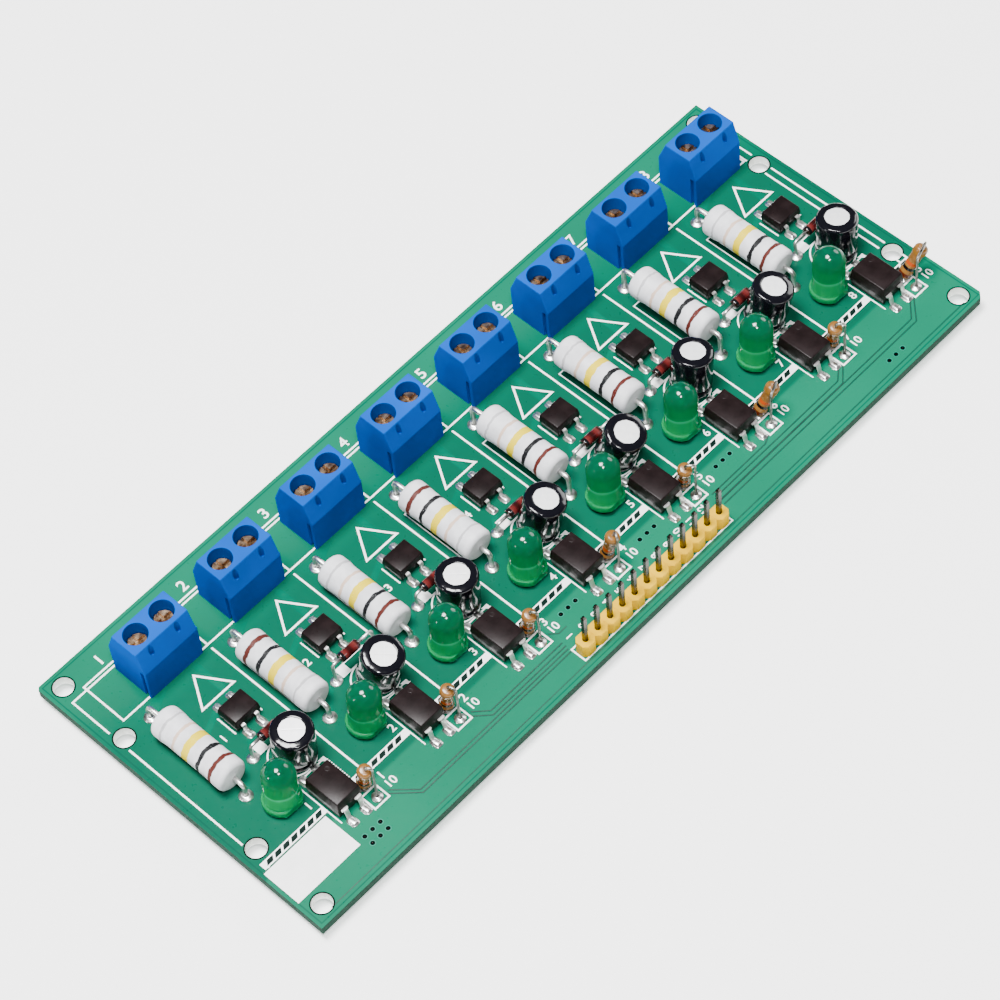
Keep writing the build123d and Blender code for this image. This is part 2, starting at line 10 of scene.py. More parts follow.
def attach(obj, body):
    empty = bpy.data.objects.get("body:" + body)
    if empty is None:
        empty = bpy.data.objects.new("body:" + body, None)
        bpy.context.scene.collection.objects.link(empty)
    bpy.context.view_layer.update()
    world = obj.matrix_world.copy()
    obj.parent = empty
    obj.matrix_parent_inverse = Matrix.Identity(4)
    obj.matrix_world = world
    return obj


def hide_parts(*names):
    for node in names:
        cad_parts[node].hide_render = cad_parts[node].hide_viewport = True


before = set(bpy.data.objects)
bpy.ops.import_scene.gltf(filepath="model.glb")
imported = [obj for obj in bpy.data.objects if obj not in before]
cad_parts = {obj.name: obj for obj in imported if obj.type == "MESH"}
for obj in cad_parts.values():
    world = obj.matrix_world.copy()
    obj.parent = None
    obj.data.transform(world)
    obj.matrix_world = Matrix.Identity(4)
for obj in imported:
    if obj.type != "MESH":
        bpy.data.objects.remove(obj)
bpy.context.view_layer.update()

# Everything below is placed in millimetres from the board's left front corner, with z from the
# board's top face, and turned into metres in the part's own frame by place().
MM = 0.001
BOARD_TOP = 3.1
BOARD_THICKNESS = 1.6
BOARD_LENGTH = 138.7
BOARD_WIDTH = 56.7
LEAD_TIP = -BOARD_THICKNESS - 1.1
PITCH = 16.3
# Each channel's number and the middle of its rectifier, from which its parts are measured along X
CHANNELS = [(number, 15.9 + PITCH * (number - 1)) for number in range(1, 9)]
TERMINAL_X, TERMINAL_PIN_Y, TERMINAL_PIN_REACH = -1.3, 44.85, 2.5
MOUNT_HOLES = [(x, y) for x in (2.7, 136.0) for y in (2.65, 15.3, 41.5, 54.05)]
SQUARE = ((-1, -1), (1, -1), (1, 1), (-1, 1))


def place(x, y, z=0.0):
    return Vector((x - BOARD_LENGTH / 2, y - BOARD_WIDTH / 2, z + BOARD_TOP)) * MM


def place_mm(x, y, z=0.0):
    return place(x, y, z) / MM


# Node helpers
class Shade:
    """One material and short ways to add nodes to it."""

    def __init__(self, name, color, roughness, metallic=0.0, **sockets):
        self.material = bpy.data.materials.new(name)
        self.material.use_nodes = True
        self.tree = self.material.node_tree
        self.surface = self.tree.nodes["Principled BSDF"]
        self.set("Base Color", (*color, 1.0))
        self.set("Roughness", roughness)
        self.set("Metallic", metallic)
        for socket, value in sockets.items():
            self.set(socket.replace("_", " "), value)

    def set(self, socket, value):
        self.surface.inputs[socket].default_value = value

    def node(self, kind, **values):
        made = self.tree.nodes.new(kind)
        for key, value in values.items():
            setattr(made, key, value)
        return made

    def link(self, source, target):
        self.tree.links.new(source, target)

    def feed(self, source, socket):
        self.link(source, self.surface.inputs[socket])

    def coords(self):
        return self.node("ShaderNodeTexCoord").outputs["Object"]

    def axes(self):
        split = self.node("ShaderNodeSeparateXYZ")
        self.link(self.coords(), split.inputs[0])
        return split.outputs

    def noise(self, scale, detail=3.0, rough=0.5, stretch=None):
        texture = self.node("ShaderNodeTexNoise")
        for socket, value in (("Scale", scale), ("Detail", detail), ("Roughness", rough)):
            texture.inputs[socket].default_value = value
        source = self.coords()
        if stretch:
            mapping = self.node("ShaderNodeMapping")
            mapping.inputs["Scale"].default_value = stretch
            self.link(source, mapping.inputs[0])
            source = mapping.outputs[0]
        self.link(source, texture.inputs["Vector"])
        return texture.outputs["Fac"]

    def math(self, operation, first, second=0.5):
        made = self.node("ShaderNodeMath", operation=operation)
        for socket, value in zip(made.inputs, (first, second)):
            if isinstance(value, (int, float)):
                socket.default_value = value
            else:
                self.link(value, socket)
        return made.outputs[0]

    def times(self, first, second):
        return self.math("MULTIPLY", first, second)

    def waver(self, value, scale, detail, amount):
        """A value that noise moves up and down by half the amount."""
        wave = self.math("SUBTRACT", self.noise(scale, detail), 0.5)
        return self.math("ADD", value, self.times(wave, amount))

    def ramp(self, factor, stops):
        made = self.node("ShaderNodeValToRGB")
        elements = made.color_ramp.elements
        while len(elements) < len(stops):
            elements.new(0.5)
        for element, (position, color) in zip(elements, stops):
            element.position = position
            element.color = (*color, 1.0)
        self.link(factor, made.inputs[0])
        return made.outputs[0]

    def mix(self, factor, first, second):
        made = self.node("ShaderNodeMix", data_type="RGBA")
        for index, value in ((0, factor), (6, first), (7, second)):
            if isinstance(value, tuple):
                made.inputs[index].default_value = (*value, 1.0)
            else:
                self.link(value, made.inputs[index])
        return made.outputs[2]

    def between(self, value, low, high, soft):
        """1 where the value lies between two limits, with soft edges."""
        rise = self.times(self.math("SUBTRACT", value, low), 1 / soft)
        fall = self.times(self.math("SUBTRACT", high, value), 1 / soft)
        return self.math("MINIMUM", self.math("MAXIMUM", self.math("MINIMUM", rise, fall), 0.0), 1.0)

    def vary(self, factor, first, second):
        self.feed(self.ramp(factor, ((0.35, first), (0.65, second))), "Base Color")

    def gloss(self, factor, low, high):
        """Roughness that runs between two values with a factor."""
        made = self.node("ShaderNodeMapRange")
        made.inputs["To Min"].default_value = low
        made.inputs["To Max"].default_value = high
        self.link(factor, made.inputs["Value"])
        self.feed(made.outputs[0], "Roughness")

    def bump(self, height, depth_mm, strength):
        made = self.node("ShaderNodeBump")
        made.inputs["Distance"].default_value = depth_mm * MM
        made.inputs["Strength"].default_value = strength
        self.link(height, made.inputs["Height"])
        self.feed(made.outputs[0], "Normal")

    def ripple(self, scale, low, high, depth_mm, strength=0.4):
        """A gentle wave in gloss and height."""
        wave = self.noise(scale, 2.0)
        self.gloss(wave, low, high)
        self.bump(wave, depth_mm, strength)
        return wave


# Mesh helpers
def linked(name, data):
    made = bpy.data.objects.new(name, data)
    bpy.context.collection.objects.link(made)
    return made


def add(name, mesh, shade, node=None, matrix=None, smooth=True):
    """A piece that rides on the board and may stand in for a node of the CAD."""
    piece = linked(name, mesh)
    if not mesh.materials:
        mesh.materials.append(shade.material)
    if smooth:
        mesh.polygons.foreach_set("use_smooth", [True] * len(mesh.polygons))
        mesh.update()
    if matrix:
        piece.matrix_world = matrix
        bpy.context.view_layer.update()
    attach(piece, "board")
    if node:
        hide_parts(node)


def to_mesh(name, work):
    bmesh.ops.remove_doubles(work, verts=work.verts, dist=1e-7)
    bmesh.ops.recalc_face_normals(work, faces=work.faces)
    mesh = bpy.data.meshes.new(name)
    work.to_mesh(mesh)
    work.free()
    return mesh


def mesh_from(name, build):
    work = bmesh.new()
    build(work)
    return to_mesh(name, work)


def skin(work, rings):
    """The sides between rings of vertices that lie one after the other."""
    count = len(rings[0])
    for first, second in zip(rings, rings[1:]):
        for i in range(count):
            j = (i + 1) % count
            work.faces.new((first[i], first[j], second[j], second[i]))


def circle(steps):
    """The cosine and sine of evenly spaced angles."""
    angles = (2 * math.pi * step / steps for step in range(steps))
    return [(math.cos(angle), math.sin(angle)) for angle in angles]


def lathe(work, profile, segments, wobble=None):
    """A turned surface about Z from the radius and height of each profile point."""
    rings = []
    for step in range(segments):
        angle = 2 * math.pi * step / segments
        ring = []
        for radius, height in profile:
            reach = radius * (wobble(angle, height) if wobble and radius > 0 else 1.0)
            point = (reach * math.cos(angle) * MM, reach * math.sin(angle) * MM, height * MM)
            ring.append(work.verts.new(point))
        rings.append(ring)
    for here, there in zip(rings, rings[1:] + rings[:1]):
        for index in range(len(profile) - 1):
            work.faces.new((here[index], there[index], there[index + 1], here[index + 1]))


def turned_mesh(name, profile, segments, lay=None, wobble=None):
    """A turned body, laid down by an angle in degrees about an axis where one is given."""

    def build(work):
        lathe(work, profile, segments, wobble)
        if lay:
            turn = Matrix.Rotation(math.radians(lay[0]), 3, lay[1])
            bmesh.ops.rotate(work, verts=work.verts, matrix=turn)

    return mesh_from(name, build)


def mirrored(profile, length=0.0):
    """The profile of a body that is alike at both ends, from its first half."""
    return profile + [(radius, length - z) for radius, z in reversed(profile)]


def arc_points(centre, radius, start, end, steps):
    """Profile points on an arc, angles in degrees from +radius towards +height."""
    angles = (math.radians(start + (end - start) * step / steps) for step in range(steps + 1))
    return [(centre[0] + radius * math.cos(angle), centre[1] + radius * math.sin(angle)) for angle in angles]


def rounded(points, radius, steps):
    """The points of an open path with each inner corner rounded."""
    out = [Vector(points[0])]
    for index in range(1, len(points) - 1):
        before, corner, after = (Vector(points[index + k]) for k in (-1, 0, 1))
        back, ahead = before - corner, after - corner
        turn = back.angle(ahead, math.pi)
        cut = min(radius / max(math.tan(turn / 2), 1e-3), back.length * 0.49, ahead.length * 0.49)
        start, end = corner + back.normalized() * cut, corner + ahead.normalized() * cut
        for step in range(steps + 1):
            t = step / steps
            out.append(start.lerp(corner, t).lerp(corner.lerp(end, t), t))
    out.append(Vector(points[-1]))
    return out


def tube(work, points, radius, sides):
    """A round bar along points in millimetres."""
    points = [Vector(p) * MM for p in points]
    rings = []
    across = None
    for index, point in enumerate(points):
        ahead = points[min(index + 1, len(points) - 1)] - points[max(index - 1, 0)]
        ahead.normalize()
        if across is None:
            helper = Vector((1, 0, 0)) if abs(ahead.x) < 0.9 else Vector((0, 1, 0))
            across = ahead.cross(helper).normalized()
        else:
            across = (across - ahead * across.dot(ahead)).normalized()
        side = ahead.cross(across)
        rings.append([
            work.verts.new(point + (across * c + side * s) * radius * MM) for c, s in circle(sides)
        ])
    skin(work, rings)
    work.faces.new(rings[0])
    work.faces.new(rings[-1][::-1])


def square_stack(work, levels, x=0.0, y=0.0):
    """A closed stack of oblongs about a point, each by its half sizes and height in millimetres."""
    rings = [
        [work.verts.new(Vector((x + sx * hx, y + sy * hy, z)) * MM) for sx, sy in SQUARE]
        for hx, hy, z in levels
    ]
    skin(work, rings)
    work.faces.new(rings[0][::-1])
    work.faces.new(rings[-1])


def bevel(mesh, width, segments, degrees=30):
    """Rounds every edge sharper than an angle."""
    work = bmesh.new()
    work.from_mesh(mesh)
    limit = math.radians(degrees)
    edges = [e for e in work.edges if len(e.link_faces) == 2 and e.calc_face_angle(0.0) > limit]
    bmesh.ops.bevel(work, geom=edges, offset=width * MM, segments=segments, profile=0.5, affect="EDGES")
    work.to_mesh(mesh)
    work.free()
    return mesh


def leaning(base, lean, length):
    """A part's matrix, from its base point in metres and its top's lean in millimetres."""
    rise = math.sqrt(length**2 - lean[0] ** 2 - lean[1] ** 2)
    up = Vector((lean[0], lean[1], rise)).normalized()
    across = Vector((0, 1, 0)).cross(up).normalized()
    turn = Matrix((across, up.cross(across), up)).transposed().to_4x4()
    return Matrix.Translation(base) @ turn


# Materials
def board_inset(shade, axes):
    """How far a point lies inside the board's outline."""
    side_x = shade.math("SUBTRACT", BOARD_LENGTH / 2 * MM, shade.math("ABSOLUTE", axes[0]))
    side_y = shade.math("SUBTRACT", BOARD_WIDTH / 2 * MM, shade.math("ABSOLUTE", axes[1]))
    return shade.math("MINIMUM", side_x, side_y)


def board_materials():
    mask = Shade("solder_mask", (0.0001, 0.122, 0.066), 0.20, Specular_IOR_Level=0.12)
    axes = mask.axes()
    warp, weft = (mask.math("SINE", mask.times(axes[i], 9000.0)) for i in (0, 1))
    paint = mask.ramp(mask.noise(38, 2.0), ((0.3, (0.0001, 0.110, 0.059)), (0.7, (0.0001, 0.138, 0.074))))
    # Painted shade: the mask is painted darker among the parts, from 10.4 mm behind the front edge, fading
    # out towards the back
    front = mask.between(axes[1], (10.4 - BOARD_WIDTH / 2) * MM, 1.0, 0.0006)
    back = mask.between(axes[1], -1.0, (51.0 - BOARD_WIDTH / 2) * MM, 0.0110)
    paint = mask.mix(mask.times(mask.times(front, back), 0.8), paint, (0.0001, 0.060, 0.034))
    # A thin dark line follows the board's edge, where the copper plane stops short of it
    line = mask.between(board_inset(mask, axes), 0.00045, 0.00072, 0.00006)
    mask.feed(mask.mix(mask.times(line, 0.6), paint, (0.0006, 0.045, 0.030)), "Base Color")
    mask.gloss(mask.noise(1500, 1.0, stretch=(1, 1, 0.1)), 0.24, 0.36)
    mask.bump(mask.times(warp, weft), 0.002, 0.25)
    edge = Shade("board_edge", (0.05, 0.16, 0.09), 0.75, Specular_IOR_Level=0.05)
    axes = edge.axes()
    layers = edge.times(edge.math("SINE", edge.times(axes[2], 30000.0)), 0.25)
    mixed = edge.math("ADD", layers, edge.noise(2500, 3))
    laminate = edge.ramp(mixed, ((0.3, (0.006, 0.028, 0.018)), (0.8, (0.018, 0.060, 0.038))))
    # The walls of the holes are bare laminate, paler than the cut and handled outer edge; their near-white is
    # partly that pale laminate and partly painted light, so the holes read bright as if lit through
    within = edge.math("GREATER_THAN", board_inset(edge, axes), 0.0009)
    edge.feed(edge.mix(within, laminate, (0.90, 0.92, 0.88)), "Base Color")
    edge.bump(mixed, 0.02, 0.5)
    return mask, edge


def plastic(name, dark, light, roughness, grain_mm, scale, **sockets):
    shade = Shade(name, light, roughness, **sockets)
    shade.vary(shade.noise(scale / 6, 2.0), dark, light)
    shade.ripple(scale, max(roughness - 0.08, 0.02), roughness + 0.08, grain_mm)
    return shade


def metal(name, dark, light, roughness, scale=1200, grain_mm=0.01):
    shade = Shade(name, light, roughness, 1.0)
    cloud = shade.noise(scale)
    shade.vary(cloud, dark, light)
    shade.gloss(cloud, max(roughness - 0.1, 0.03), roughness + 0.12)
    shade.bump(cloud, grain_mm, 0.5)
    return shade


MASK, EDGE = board_materials()
HOUSING = plastic("terminal_blue", (0.0001, 0.058, 0.32), (0.0001, 0.070, 0.39), 0.32, 0.0, 600,
                  Specular_IOR_Level=0.0)
STEEL = metal("lead_tin", (0.66, 0.65, 0.63), (0.90, 0.89, 0.87), 0.36)
SOLDER = metal("solder_alloy", (0.70, 0.70, 0.69), (0.95, 0.95, 0.94), 0.30, 1500, 0.02)
SCREW = metal("screw_plating", (0.30, 0.15, 0.07), (0.72, 0.50, 0.30), 0.24, 900, 0.005)
BRASS = metal("clamp_metal", (0.50, 0.42, 0.24), (0.72, 0.64, 0.42), 0.30, 900, 0.01)
CONTACT = metal("contact_metal", (0.60, 0.56, 0.48), (0.80, 0.77, 0.70), 0.25, 900, 0.01)
PIN = metal("pin_metal", (0.022, 0.020, 0.018), (0.070, 0.062, 0.052), 0.24, 900, 0.004)
YELLOW = plastic("header_yellow", (0.60, 0.34, 0.0001), (0.70, 0.41, 0.0001), 0.40, 0.008, 1500,
                 Specular_IOR_Level=0.05)
MOULDED = plastic("moulded_epoxy", (0.0055, 0.0030, 0.0032), (0.0110, 0.0066, 0.0070), 0.31, 0.004, 3000,
                  Specular_IOR_Level=0.16)
LEGEND = plastic("legend_ink", (0.92, 0.93, 0.92), (0.98, 0.98, 0.98), 0.55, 0.006, 3000)


# The CAD's own nodes that no piece stands for
def paint_node(name, *shades):
    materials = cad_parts[name].data.materials
    materials.clear()
    for shade in shades:
        materials.append(shade.material)


paint_node("circuit_board", MASK, EDGE)
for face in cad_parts["circuit_board"].data.polygons:
    face.material_index = 0 if abs(face.normal.z) > 0.7 else 1
paint_node("terminal_contacts", CONTACT)
for number, _ in CHANNELS:
    paint_node(f"terminal_housing_{number}", HOUSING)
    for letter in "ab":
        paint_node(f"terminal_screw_{number}{letter}", SCREW)
        paint_node(f"terminal_clamp_{number}{letter}", BRASS)


def add_wires(kind, number, paths, radius, sides=12, shade=STEEL):
    """Round leads along paths in millimetres, in place of the CAD's own."""

    def build(work):
        for path in paths:
            tube(work, path, radius, sides)

    mesh = mesh_from(f"{kind}_leads", build)
    add(f"{kind}_lead_pair_{number}", mesh, shade, f"{kind}_leads")


# Dropper resistors: a cement coated body with printed bands, which face front or back
DROPPER_LIFT = (0.1, 0.35, 0.15, 0.75, 1.75, 1.65, 2.0, 0.9)
DROPPER_REVERSED = (2, 4)
DROPPER_X, DROPPER_Y, DROPPER_LENGTH, DROPPER_RADIUS = -8.4, 31.2, 14.4, 2.55
DROPPER_HOLES_Y, DROPPER_REACH = 31.7, 9.5


def dropper_material():
    shade = Shade("resistor_cement", (0.60, 0.60, 0.62), 0.55, Specular_IOR_Level=0.25)
    # Bands are at shares of the length, from the front end of a body that isn't reversed
    along = shade.waver(shade.axes()[1], 900, 3.0, 0.0006)
    gaps = shade.ramp(shade.noise(5200, 2.0), ((0.27, (0.70, 0.70, 0.70)), (0.33, (1, 1, 1))))
    coat = shade.ramp(shade.noise(600, 4.0), ((0.3, (0.56, 0.56, 0.585)), (0.7, (0.72, 0.72, 0.745))))
    for middle, width, color, strength in (
        (0.165, 0.72, (0.070, 0.009, 0.005), 1.0),
        (0.335, 0.74, (0.002, 0.002, 0.003), 1.0),
        (0.515, 1.28, (0.66, 0.50, 0.0001), 1.0),
        (0.675, 0.55, (0.50, 0.27, 0.12), 0.62),
        (0.840, 0.42, (0.24, 0.23, 0.24), 0.6),
    ):
        centre, half = (middle - 0.5) * DROPPER_LENGTH * MM, width / 2 * MM
        inside = shade.between(along, centre - half, centre + half, 0.00006)
        coat = shade.mix(shade.times(shade.times(inside, gaps), strength), coat, color)
    shade.feed(coat, "Base Color")
    grit = shade.noise(2600, 4.0, 0.65)
    shade.gloss(grit, 0.42, 0.68)
    shade.bump(grit, 0.05, 0.55)
    return shade


def dropper_mesh():
    half, radius = DROPPER_LENGTH / 2, DROPPER_RADIUS
    profile = [(0.0, -half), (0.5, -half + 0.02), (1.2, -half + 0.10)]
    profile += arc_points((radius - 0.75, -half + 0.85), 0.75, -80, 0, 6)
    profile += [(radius, -half + 2.3), (radius - 0.08, -half + 2.75), (radius - 0.14, -half + 3.4)]
    return turned_mesh("dropper_body", mirrored(profile), 56, lay=(-90, "X"))


def droppers():
    cement, mesh = dropper_material(), dropper_mesh()
    for (number, middle), lift in zip(CHANNELS, DROPPER_LIFT):
        x, height = middle + DROPPER_X, lift + DROPPER_RADIUS
        turn = Matrix.Rotation(math.pi if number in DROPPER_REVERSED else 0, 4, "Z")
        roll = Matrix.Rotation(math.radians(37 * (number - 1)), 4, "Y")
        add(f"dropper_resistor_{number}", mesh, cement, "dropper_resistors",
            Matrix.Translation(place(x, DROPPER_Y, height)) @ turn @ roll)
        paths = []
        for side in (-1, 1):
            start = place_mm(x, DROPPER_Y + side * (DROPPER_LENGTH / 2 - 0.2), height)
            hole = DROPPER_HOLES_Y + side * DROPPER_REACH
            paths.append(rounded([start, place_mm(x, hole, height), place_mm(x, hole, LEAD_TIP)], 0.8, 8))
        add_wires("dropper", number, paths, 0.38, 16)


# Capacitors
CAP_LEAN = (
    (0.0, -0.45), (0.35, -1.75), (0.2, -0.1), (1.1, -1.15),
    (0.6, -2.15), (1.15, 0.3), (1.2, -0.95), (0.7, 0.5),
)
CAP_X, CAP_Y, CAP_REACH = 0.6, 21.6, 1.25
CAP_HEIGHT, CAP_RADIUS, CAP_SLEEVE = 7.2, 3.15, 0.15


def capacitor_materials():
    ink = (0.003, 0.003, 0.005)
    film = Shade("capacitor_film", ink, 0.14, Coat_Weight=0.25, Coat_Roughness=0.05, Specular_IOR_Level=0.35)
    axes = film.axes()
    # The pale stripe that marks one lead is on the side away from the header
    across = film.math("SUBTRACT", film.math("ARCTAN2", axes[1], axes[0]), math.radians(62))
    mark = film.times(film.between(across, -0.36, 0.36, 0.02), film.between(axes[2], 0.0006, 0.00675, 0.0001))
    repeat = film.between(film.math("PINGPONG", axes[2], 0.00125), 0.0, 0.0007, 0.00005)
    dash = film.times(film.between(across, -0.06, 0.06, 0.01), repeat)
    paint = film.mix(mark, ink, (0.50, 0.54, 0.66))
    film.feed(film.mix(film.times(mark, dash), paint, (0.01, 0.01, 0.02)), "Base Color")
    film.ripple(420, 0.08, 0.18, 0.03)
    can = Shade("capacitor_can", (0.97, 0.97, 0.98), 0.42, 0.35)
    can.vary(can.ripple(900, 0.36, 0.50, 0.006), (0.92, 0.92, 0.94), (0.99, 0.99, 1.0))
    plug_and_painted_shade = plastic("capacitor_plug", (0.02, 0.02, 0.022), (0.035, 0.035, 0.038), 0.8, 0.02, 2500)
    return film, can, plug_and_painted_shade


def capacitor_film_mesh():
    r, h = CAP_RADIUS, CAP_HEIGHT
    profile = [(r - 0.55, 0.02), (r - 0.2, 0.0), (r - 0.05, 0.12), (r, 0.4), (r, 0.78)]
    profile += [(r - 0.06, 0.92), (r - 0.2, 1.04), (r - 0.24, 1.12), (r - 0.2, 1.2), (r - 0.06, 1.32)]
    profile += [(r, 1.46), (r, h - 0.62)]
    profile += arc_points((r - 0.55, h - 0.62), 0.55, 8, 62, 6)
    profile += [(r - 0.62, h - 0.10), (r - 0.95, h - 0.02), (r - 1.22, h - 0.03)]
    profile += [(r - 1.28, h - 0.06), (r - 1.29, h - 0.14)]

    def crinkle(angle, height):
        if height > h - 0.2:
            return 1.0 + 0.012 * math.sin(9 * angle) + 0.008 * math.sin(17 * angle + 1)
        return 1.0

    return turned_mesh("capacitor_film", profile, 72, wobble=crinkle)


def capacitor_top_mesh():
    """The can's end, with the cross of its score as thin roofs."""
    r, h = CAP_RADIUS - CAP_SLEEVE, CAP_HEIGHT - CAP_SLEEVE

    def build(work):
        profile = [(0.0, h), (0.05, h)]
        profile += [(radius, h - 0.002 * radius) for radius in (0.4, 0.9, 1.4, 1.8)]
        profile += [(2.15, h - 0.01), (r - 0.55, h - 0.05), (r - 0.1, h - 0.45)]
        lathe(work, profile, 72)
        for turn in (45, 135):
            angle = math.radians(turn)
            ahead = Vector((math.cos(angle), math.sin(angle)))
            side = Vector((-math.sin(angle), math.cos(angle)))
            for flank in (-1, 1):
                verts = []
                for a, b, z in ((-1.5, 0.0, h - 0.004), (1.5, 0.0, h - 0.004), (1.4, 0.11, h + 0.014),
                                (-1.4, 0.11, h + 0.014)):
                    p = ahead * a + side * (b * flank)
                    verts.append(work.verts.new(Vector((p.x, p.y, z)) * MM))
                work.faces.new(verts[::flank])

    return mesh_from("capacitor_top", build)


def capacitors():
    film, can, plug_and_painted_shade = capacitor_materials()
    film_mesh, top_mesh = capacitor_film_mesh(), capacitor_top_mesh()
    plug_mesh = turned_mesh("capacitor_plug", [(0.0, 0.12), (2.3, 0.12), (2.6, 0.05), (2.62, 0.0)], 40)
    for (number, middle), lean in zip(CHANNELS, CAP_LEAN):
        x, stand = middle + CAP_X, CAP_RADIUS * math.hypot(*lean) / CAP_HEIGHT + 0.1
        matrix = leaning(place(x, CAP_Y, stand), lean, CAP_HEIGHT)
        add(f"capacitor_sleeve_{number}", film_mesh, film, "capacitor_sleeves", matrix)
        add(f"capacitor_can_{number}", top_mesh, can, "capacitor_cans", matrix)
        add(f"capacitor_plug_{number}", plug_mesh, plug_and_painted_shade, None, matrix)
        paths = []
        for reach in (-CAP_REACH, CAP_REACH):
            start = matrix @ Vector((reach * MM, 0, 0.2 * MM)) / MM
            below = [place_mm(x + reach, CAP_Y, z) for z in (-0.2, LEAD_TIP)]
            paths.append(rounded([start, *below], 0.3, 4))
        add_wires("capacitor", number, paths, 0.25)


# Indicator lamps
LAMP_LEAN = (
    (0.6, 0.2), (0.6, 0.0), (0.7, 0.2), (0.6, 0.6),
    (0.8, 0.9), (0.85, 0.7), (0.85, 0.45), (0.75, 0.5),
)
LAMP_X, LAMP_Y, LAMP_REACH = -5.75, 17.7, 1.27
LAMP_HEIGHT, LAMP_RADIUS, LAMP_FLANGE = 8.6, 2.5, 2.9


def lamp_material():
    shade = Shade("lamp_resin", (0.0003, 0.062, 0.022), 0.10, IOR=1.45, Subsurface_Weight=0.85,
                  Subsurface_Scale=0.0030, Subsurface_Radius=(0.2, 1.0, 0.5))
    height = shade.times(shade.axes()[2], 1 / (LAMP_HEIGHT * MM))
    # Painted light and shade: the foot of the lens and a faint ring where the die's cup sits are painted
    # brighter, where light gathers, and the middle and top darker green
    shade.feed(shade.ramp(shade.waver(height, 300, 2.0, 0.03), (
        (0.00, (0.001, 0.200, 0.064)), (0.10, (0.001, 0.150, 0.048)), (0.15, (0.0003, 0.225, 0.064)),
        (0.37, (0.0003, 0.225, 0.066)), (0.420, (0.008, 0.340, 0.130)), (0.455, (0.0002, 0.150, 0.042)),
        (0.66, (0.0002, 0.125, 0.034)), (0.80, (0.0003, 0.074, 0.026)), (1.00, (0.0005, 0.062, 0.031)),
    )), "Base Color")
    # The dome shines, and the sides stay soft, so that they don't mirror the neighbours
    shine = shade.ramp(height, ((0.86, (0.03, 0.03, 0.03)), (0.92, (0.5, 0.5, 0.5))))
    shade.feed(shine, "Specular IOR Level")
    shade.ripple(300, 0.08, 0.12, 0.004, 0.3)
    return shade


def lamp_mesh():
    profile = [(0.0, 0.0), (LAMP_FLANGE - 0.2, 0.0), (LAMP_FLANGE - 0.05, 0.05), (LAMP_FLANGE, 0.2)]
    profile += [(LAMP_FLANGE, 0.82), (LAMP_FLANGE - 0.05, 0.95), (LAMP_FLANGE - 0.18, 1.0)]
    profile += [(LAMP_RADIUS + 0.10, 1.0), (LAMP_RADIUS + 0.02, 1.06), (LAMP_RADIUS, 1.2)]
    profile += [(LAMP_RADIUS, 2.5), (LAMP_RADIUS - 0.01, 4.0)]
    profile += arc_points((0, LAMP_HEIGHT - LAMP_RADIUS), LAMP_RADIUS, 0, 90, 14)

    def build(work):
        lathe(work, profile, 64)
        # One side of the flange is cut flat
        for vert in work.verts:
            if vert.co.y < -LAMP_RADIUS * MM and vert.co.z < 1.05 * MM:
                vert.co.y = -LAMP_RADIUS * MM

    return mesh_from("lamp_lens", build)


def lamps():
    resin, mesh = lamp_material(), lamp_mesh()
    for (number, middle), lean in zip(CHANNELS, LAMP_LEAN):
        x, stand = middle + LAMP_X, LAMP_FLANGE * math.hypot(*lean) / LAMP_HEIGHT + 0.1
        matrix = leaning(place(x, LAMP_Y, stand), lean, LAMP_HEIGHT)
        add(f"lamp_lens_{number}", mesh, resin, "lamp_lenses", matrix)

        def build(work):
            for reach in (-LAMP_REACH, LAMP_REACH):
                low, high = (place_mm(x, LAMP_Y + reach, z) for z in (LEAD_TIP, stand + 0.25))
                square_stack(work, [(0.25, 0.25, end.z) for end in (low, high)], low.x, low.y)

        leads = bevel(mesh_from("lamp_leads", build), 0.05, 1)
        add(f"lamp_lead_pair_{number}", leads, STEEL, "lamp_leads", smooth=False)


# Diodes
DIODE_PLACES = (
    (-0.3, 0.0, 3.1), (-0.6, 0.2, 3.9), (-0.8, 0.1, 2.9), (0.1, -0.3, 2.4),
    (-0.1, 0.0, 2.0), (-0.7, 0.25, 2.4), (-0.15, -0.05, 2.4), (0.45, 0.4, 2.9),
)
DIODE_X, DIODE_Y, DIODE_REACH = 0.15, 25.65, 3.81


def diodes():
    glass = Shade("diode_glass", (0.20, 0.025, 0.012), 0.08, Coat_Weight=0.9, Coat_Roughness=0.04, IOR=1.5)
    along = glass.axes()[0]
    band = glass.between(along, -0.00160, -0.00110, 0.00004)
    paint = glass.ramp(glass.times(glass.math("ABSOLUTE", along), 540.0), (
        (0.10, (0.020, 0.003, 0.003)), (0.30, (0.075, 0.008, 0.008)), (0.60, (0.11, 0.020, 0.018)),
        (0.76, (0.020, 0.005, 0.004)), (0.97, (0.012, 0.004, 0.003)),
    ))
    glass.feed(glass.mix(band, paint, (0.004, 0.004, 0.005)), "Base Color")
    glass.ripple(700, 0.05, 0.12, 0.02)
    profile = [(0.0, -1.85), (0.28, -1.85), (0.46, -1.80)]
    profile += arc_points((0.48, -1.50), 0.30, -75, 0, 6) + [(0.78, -0.6)]
    mesh = turned_mesh("diode_body", mirrored(profile), 36, lay=(90, "Y"))
    for (number, centre), (right, back, height) in zip(CHANNELS, DIODE_PLACES):
        middle = centre + DIODE_X
        x, y = middle + right, DIODE_Y + back
        add(f"diode_{number}", mesh, glass, "diodes", Matrix.Translation(place(x, y, height)))
        paths = []
        for side in (-1, 1):
            hole = middle + side * DIODE_REACH
            bends = [(x + side * 1.8, y, height), (hole, y, height), (hole, DIODE_Y, 0.65)]
            bends.append((hole, DIODE_Y, LEAD_TIP))
            paths.append(rounded([place_mm(*bend) for bend in bends], 0.6, 6))
        add_wires("diode", number, paths, 0.25)


